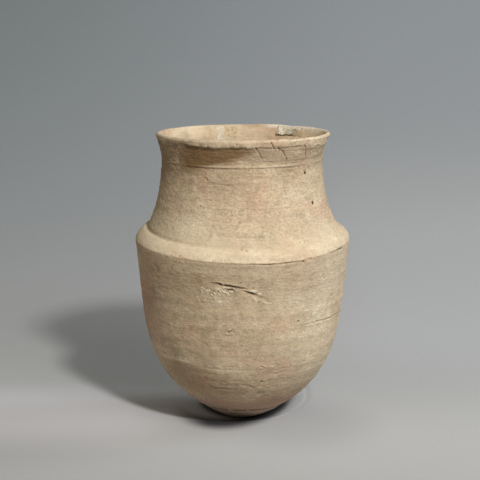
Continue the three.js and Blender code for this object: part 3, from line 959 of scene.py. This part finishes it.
class Shader:
    """Builds a material's nodes from short calls, each of which returns the new node's first output."""

    def __init__(self, name):
        self.material = bpy.data.materials.new(name)
        self.material.use_nodes = True
        self.nodes = self.material.node_tree.nodes
        self.links = self.material.node_tree.links
        self.surface = self.nodes["Principled BSDF"]
        self.object_place = self.nodes.new("ShaderNodeTexCoord").outputs["Object"]

    def put(self, socket, value):
        if isinstance(value, bpy.types.NodeSocket):
            self.links.new(value, socket)
        else:
            socket.default_value = value

    def node(self, kind, inputs, output=0, **settings):
        node = self.nodes.new("ShaderNode" + kind)
        for key, value in settings.items():
            setattr(node, key, value)
        for key, value in inputs.items():
            self.put(node.inputs[key], value)
        return node.outputs[output]

    def shifted(self, offset, stretch=(1, 1, 1)):
        return self.node("Mapping", {"Vector": self.object_place, "Scale": stretch, "Location": offset})

    def noise(self, size, detail=3, rough=0.55, stretch=(1, 1, 1), offset=(0, 0, 0)):
        """Noise over about size millimetres; stretch above 1 shortens it along that axis."""
        place = self.shifted(offset, stretch)
        inputs = {"Vector": place, "Scale": 1 / MM / size, "Detail": detail, "Roughness": rough}
        return self.node("TexNoise", inputs, "Fac")

    def specks(self, size, offset, broad, least):
        """Specks about size millimetres apart, where the broad noise is above least."""
        cell = self.node("TexVoronoi", {"Vector": self.shifted(offset), "Scale": 1 / MM / size}, "Distance")
        return self.times(self.ramp(cell, 0.1, 0.2, 1, 0), self.ramp(broad, least, 0.66))

    def ramp(self, value, low, high, to_low=0.0, to_high=1.0):
        return self.node("MapRange", {
            "Value": value, "From Min": low, "From Max": high, "To Min": to_low, "To Max": to_high,
        }, interpolation_type="SMOOTHSTEP")

    def chain(self, operation, result, *values):
        for value in values:
            result = self.node("Math", {0: result, 1: value}, operation=operation)
        return result

    def times(self, *values):
        return self.chain("MULTIPLY", *values)

    def plus(self, *values):
        return self.chain("ADD", *values)

    def mix(self, share, a, b, blend="MIX"):
        return self.node("Mix", {"Factor": share, 6: a, 7: b}, 2, data_type="RGBA", blend_type=blend)

    def tint(self, colour, share, tone, strength=1.0):
        """The colour with a tone, given as a screen shows it, laid over it."""
        return self.mix(self.times(share, strength), colour, srgb(*tone))

    def attribute(self, name):
        return self.node("Attribute", {}, "Fac", attribute_name=name)

    def finish(self, colour, rough, specular, relief=None, depth=0.0, strength=1.0):
        """Connects the surface, with relief up to depth metres, and returns the material."""
        self.put(self.surface.inputs["Base Color"], colour)
        self.put(self.surface.inputs["Roughness"], rough)
        self.put(self.surface.inputs["Specular IOR Level"], specular)
        if relief is not None:
            bump = self.node("Bump", {"Height": relief, "Strength": strength, "Distance": depth})
            self.put(self.surface.inputs["Normal"], bump)
        return self.material


def clay_material():
    s = Shader("clay")
    colour = s.mix(s.ramp(s.noise(34, 3), 0.36, 0.64), srgb(204, 184, 155), srgb(189, 166, 138))
    for size, detail, offset, low, high, most, tone in (
        (21, 4, (0.3, 0, 0), 0.5, 0.7, 0.65, (194, 160, 133)),
        (15, 4, (0, 0.4, 0), 0.52, 0.72, 0.6, (168, 151, 118)),
        (11, 5, (0, 0, 0.7), 0.55, 0.75, 0.45, (220, 205, 178)),
    ):
        colour = s.tint(colour, s.ramp(s.noise(size, detail, offset=offset), low, high, 0, most), tone)
    # wheel-drawn streaks, mottling and sandy grain
    streak = s.noise(26, 5, 0.6, stretch=(1, 1, 13))
    fine = s.noise(9, 4, 0.6, stretch=(1, 1, 9), offset=(0.1, 0.2, 0))
    mottle = s.noise(3.4, 5, 0.65)
    sand = s.noise(1.3, 3, 0.7, stretch=(1, 1, 1.7), offset=(0.6, 0.1, 0.2))
    grain_here = s.attribute("grain")
    shade = s.plus(
        s.ramp(streak, 0.3, 0.7, -0.035, 0.035),
        s.ramp(fine, 0.3, 0.7, -0.045, 0.045),
        s.ramp(mottle, 0.3, 0.7, -0.12, 0.1),
        s.times(grain_here, s.ramp(sand, 0.32, 0.68, -0.17, 0.15)),
        1.0,
    )
    colour = s.mix(1.0, colour, s.node("CombineColor", {0: shade, 1: shade, 2: shade}), "MULTIPLY")
    # masks made with the mesh: stains and wear, with painted light and shade among them
    for mask, strength, tone in (
        ("grey", 0.68, (154, 139, 117)),
        ("red", 0.62, (168, 121, 108)),
        ("brown", 1.0, (118, 93, 63)),
        ("pale", 0.55, (228, 212, 182)),
        ("white", 0.8, (238, 226, 206)),
    ):
        colour = s.tint(colour, s.attribute(mask), tone, strength)
    # short dark scratches where the skin is rough
    nick = s.ramp(s.noise(2.6, 3, 0.65, stretch=(1, 1, 3.6), offset=(0.4, 0.7, 0)), 0.6, 0.7)
    nick = s.times(nick, grain_here)
    colour = s.tint(colour, nick, (132, 106, 78), 0.42)
    # temper: dark and pale specks
    speck = s.specks(2.6, (0, 0, 0), s.noise(6, 2, offset=(0.9, 0, 0)), 0.5)
    grit = s.specks(3.4, (0.5, 0.2, 0.1), s.noise(7, 2, offset=(0, 0.8, 0)), 0.52)
    colour = s.tint(colour, speck, (104, 82, 58), 0.55)
    colour = s.tint(colour, grit, (226, 212, 184), 0.28)
    # the dark mask is mostly painted shade in slits, cracks, cuts, pits and grooves; it turns nearly black
    # where deepest
    dark = s.attribute("dark")
    colour = s.tint(colour, dark, (78, 57, 30), 1.1)
    colour = s.tint(colour, s.ramp(dark, 0.84, 0.97, 0, 0.9), (30, 19, 10))
    # relief too fine for the mesh
    scrape = s.noise(7, 4, 0.65, stretch=(1, 1, 14), offset=(0.2, 0.5, 0))
    relief = s.plus(
        s.times(s.noise(0.9, 4, 0.6), 0.55), s.times(scrape, 0.45), s.times(mottle, 0.5),
        s.times(sand, grain_here, 0.8), s.times(nick, -0.3), s.times(speck, -0.35),
    )
    return s.finish(colour, s.ramp(mottle, 0.3, 0.7, 0.84, 0.97), 0.25, relief, 0.35 * MM, 0.9)


def lime_material():
    s = Shader("lime")
    colour = s.mix(s.ramp(s.noise(4, 4), 0.38, 0.62), srgb(222, 209, 190), srgb(204, 189, 165))
    green = s.mix(s.ramp(s.noise(2.5, 4), 0.4, 0.6), srgb(191, 185, 163), srgb(168, 162, 138))
    colour = s.mix(s.attribute("green"), colour, green)
    colour = s.tint(colour, s.ramp(s.noise(1.6, 4, offset=(0.2, 0, 0)), 0.56, 0.68, 0, 0.6), (142, 126, 92))
    colour = s.tint(colour, s.attribute("fade"), (196, 172, 138))
    # soil, and painted shade in the hollows under the crust's knobs
    colour = s.tint(colour, s.attribute("earth"), (126, 106, 72))
    relief = s.plus(s.noise(0.8, 4, 0.65), s.times(s.noise(2.2, 3), 0.8))
    return s.finish(colour, s.ramp(s.noise(1.5, 3), 0.3, 0.7, 0.9, 1.0), 0.2, relief, 0.4 * MM)


def floor_material():
    """Pale, with painted light and shade that fade over it; those by the foot are placed for the view from
    the front.
    """
    s = Shader("floor")
    x, y = (s.node("SeparateXYZ", {"Vector": s.object_place}, axis) for axis in (0, 1))

    def reach(middle_x, half_x, middle_y, half_y):
        """1 on an ellipse round this place, less inside it."""
        squeeze = (1 / half_x, 1 / half_y, 0.0)
        squeezed = s.node("VectorMath", {0: s.object_place, 1: squeeze}, operation="MULTIPLY")
        middle = (middle_x / half_x, middle_y / half_y, 0.0)
        return s.node("VectorMath", {0: squeezed, 1: middle}, "Value", operation="DISTANCE")

    # painted shade: darker towards the back, most of all on the left
    far = s.ramp(y, 0.1, 0.9)
    colour = s.mix(far, srgb(180, 179, 178), srgb(176, 181, 187))
    colour = s.tint(colour, s.times(far, s.ramp(x, -0.25, 0.15, 1, 0)), (156, 162, 166))
    # painted shade, darker towards the front
    colour = s.tint(colour, s.ramp(y, -0.2, -0.02, 1, 0), (161, 160, 158))
    # painted light to the right of the jar and behind it
    right = s.times(s.ramp(x, -0.02, 0.1), s.ramp(y, 0.02, 0.2), s.ramp(y, 0.38, 0.62, 1, 0))
    colour = s.tint(colour, right, (196, 196, 197), 0.8)
    # painted light on the left of the foot
    painted_light_beside = s.times(s.ramp(x, -0.07, -0.012, 1, 0), s.ramp(y, -0.09, -0.02), s.ramp(y, 0.02, 0.07, 1, 0))
    colour = s.tint(colour, painted_light_beside, (204, 202, 204), 0.9)
    # painted shade to the right of the foot
    colour = s.tint(colour, s.ramp(reach(0.03, 0.052, -0.025, 0.065), 0.3, 1.1, 0.8, 0), (165, 164, 164))
    # the deep contact shadow under the foot, painted as shade: a dark edge and a dark middle; painted light
    # on the right brightens part of the lamps' cast shadow
    rim = reach(-0.0117, 0.0431, 0.0715, 0.1048)
    cast = reach(0.0023, 0.0336, 0.0414, 0.056)
    here = s.ramp(y, 0.06, 0.1, 1, 0)
    pale = s.times(s.ramp(rim, 0.94, 1.1), s.ramp(cast, 0.96, 1.09, 1, 0), here, s.ramp(x, 0.005, 0.02))
    colour = s.tint(colour, pale, (239, 239, 239))
    edge = s.times(s.ramp(rim, 0.74, 0.87), s.ramp(rim, 0.9, 1.07, 0.97, 0), s.ramp(x, -0.042, -0.018), here)
    colour = s.tint(colour, edge, (46, 44, 46))
    middle = s.ramp(reach(0.0005, 0.028, 0.026, 0.044), 0.8, 0.98, 0.94, 0)
    return s.finish(s.tint(colour, middle, (50, 48, 50)), 0.85, 0.15)


# ---- the pieces ----
jar, inner_wall = make_jar()
jar.data.materials.append(clay_material())
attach(jar, "root")
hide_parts("jar_wall")

lime = lime_material()
thick = lime_patch("lime_thick", inner_wall, 25, 57, 156.95, 150.3, thick_lime, 201)
thin = lime_patch("lime_thin", inner_wall, -20.4, -2.0, 156.3, 148.2, thin_lime, 301)
for piece, node in ((thick, "lime_crust_thick"), (thin, "lime_crust_thin")):
    piece.data.materials.append(lime)
    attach(piece, "root")
    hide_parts(node)

# ---- stage ----
def sweep():
    """A pale floor that bends up into a backdrop far behind."""
    flat, bend, rise = 0.15, 1.2, 1.6
    angles = np.linspace(0, math.pi / 2, 24)[1:]
    profile = [(-3.0, 0.0), (0.0, 0.0), (flat, 0.0)]
    profile += [(flat + bend * math.sin(a), bend - bend * math.cos(a)) for a in angles]
    profile.append((flat + bend, bend + rise))
    xs = np.linspace(-4, 4, 9)
    points = np.array([(x, y, z) for y, z in profile for x in xs]) / MM
    return mesh_object("floor", points, [grid_faces(len(profile), len(xs))])


floor = sweep()
floor.data.materials.append(floor_material())

# Lamps: name, turn and rise in degrees and distance from the foot, level aimed at, size, power, colour
LAMPS = [
    ("key", 20, 43, 1.0, 0.05, 0.1, 6.8, (1.0, 0.99, 0.98)),
    ("halo", 30, 43, 1.0, 0.05, 0.5, 1.8, (0.96, 1.0, 1.0)),
    ("side", 105, 30, 2.5, 0.1, 1.2, 22.0, (0.84, 0.93, 1.0)),
    ("left", -45, 30, 1.5, 0.1, 0.8, 1.55, (1.0, 0.88, 0.66)),
]
SKY_COLOUR = (1.0, 0.95, 0.8, 1.0)
SKY_STRENGTH = 0.17
LENS = 150.75
CAMERA_PLACE = (-0.0013, -1.08, 0.3064)
CAMERA_PITCH = 10.95  # degrees below level

for name, turn, rise, distance, aim, size, power, colour in LAMPS:
    data = bpy.data.lights.new(name, "AREA")
    data.shape = "DISK"
    data.size = size
    data.energy = power
    data.color = colour
    turn, rise = math.radians(turn), math.radians(rise)
    flat, high = distance * math.cos(rise), distance * math.sin(rise)
    lamp = bpy.data.objects.new(name, data)
    lamp.location = flat * math.sin(turn), -flat * math.cos(turn), high
    lamp.rotation_euler = math.atan2(flat, high - aim), 0.0, turn
    lamp.visible_camera = False
    bpy.context.scene.collection.objects.link(lamp)

world = bpy.data.worlds.new("studio")
world.use_nodes = True
sky = world.node_tree.nodes["Background"]
sky.inputs["Color"].default_value = SKY_COLOUR
sky.inputs["Strength"].default_value = SKY_STRENGTH
bpy.context.scene.world = world

camera_data = bpy.data.cameras.new("camera")
camera_data.sensor_fit = "HORIZONTAL"
camera_data.sensor_width = 36.0
camera_data.lens = LENS
camera_data.clip_start = 0.01
camera_data.clip_end = 50.0
camera = bpy.data.objects.new("camera", camera_data)
camera.location = CAMERA_PLACE
camera.rotation_euler = (math.radians(90 - CAMERA_PITCH), 0.0, 0.0)
bpy.context.scene.collection.objects.link(camera)
bpy.context.scene.camera = camera
bpy.context.scene.view_settings.view_transform = "Standard"
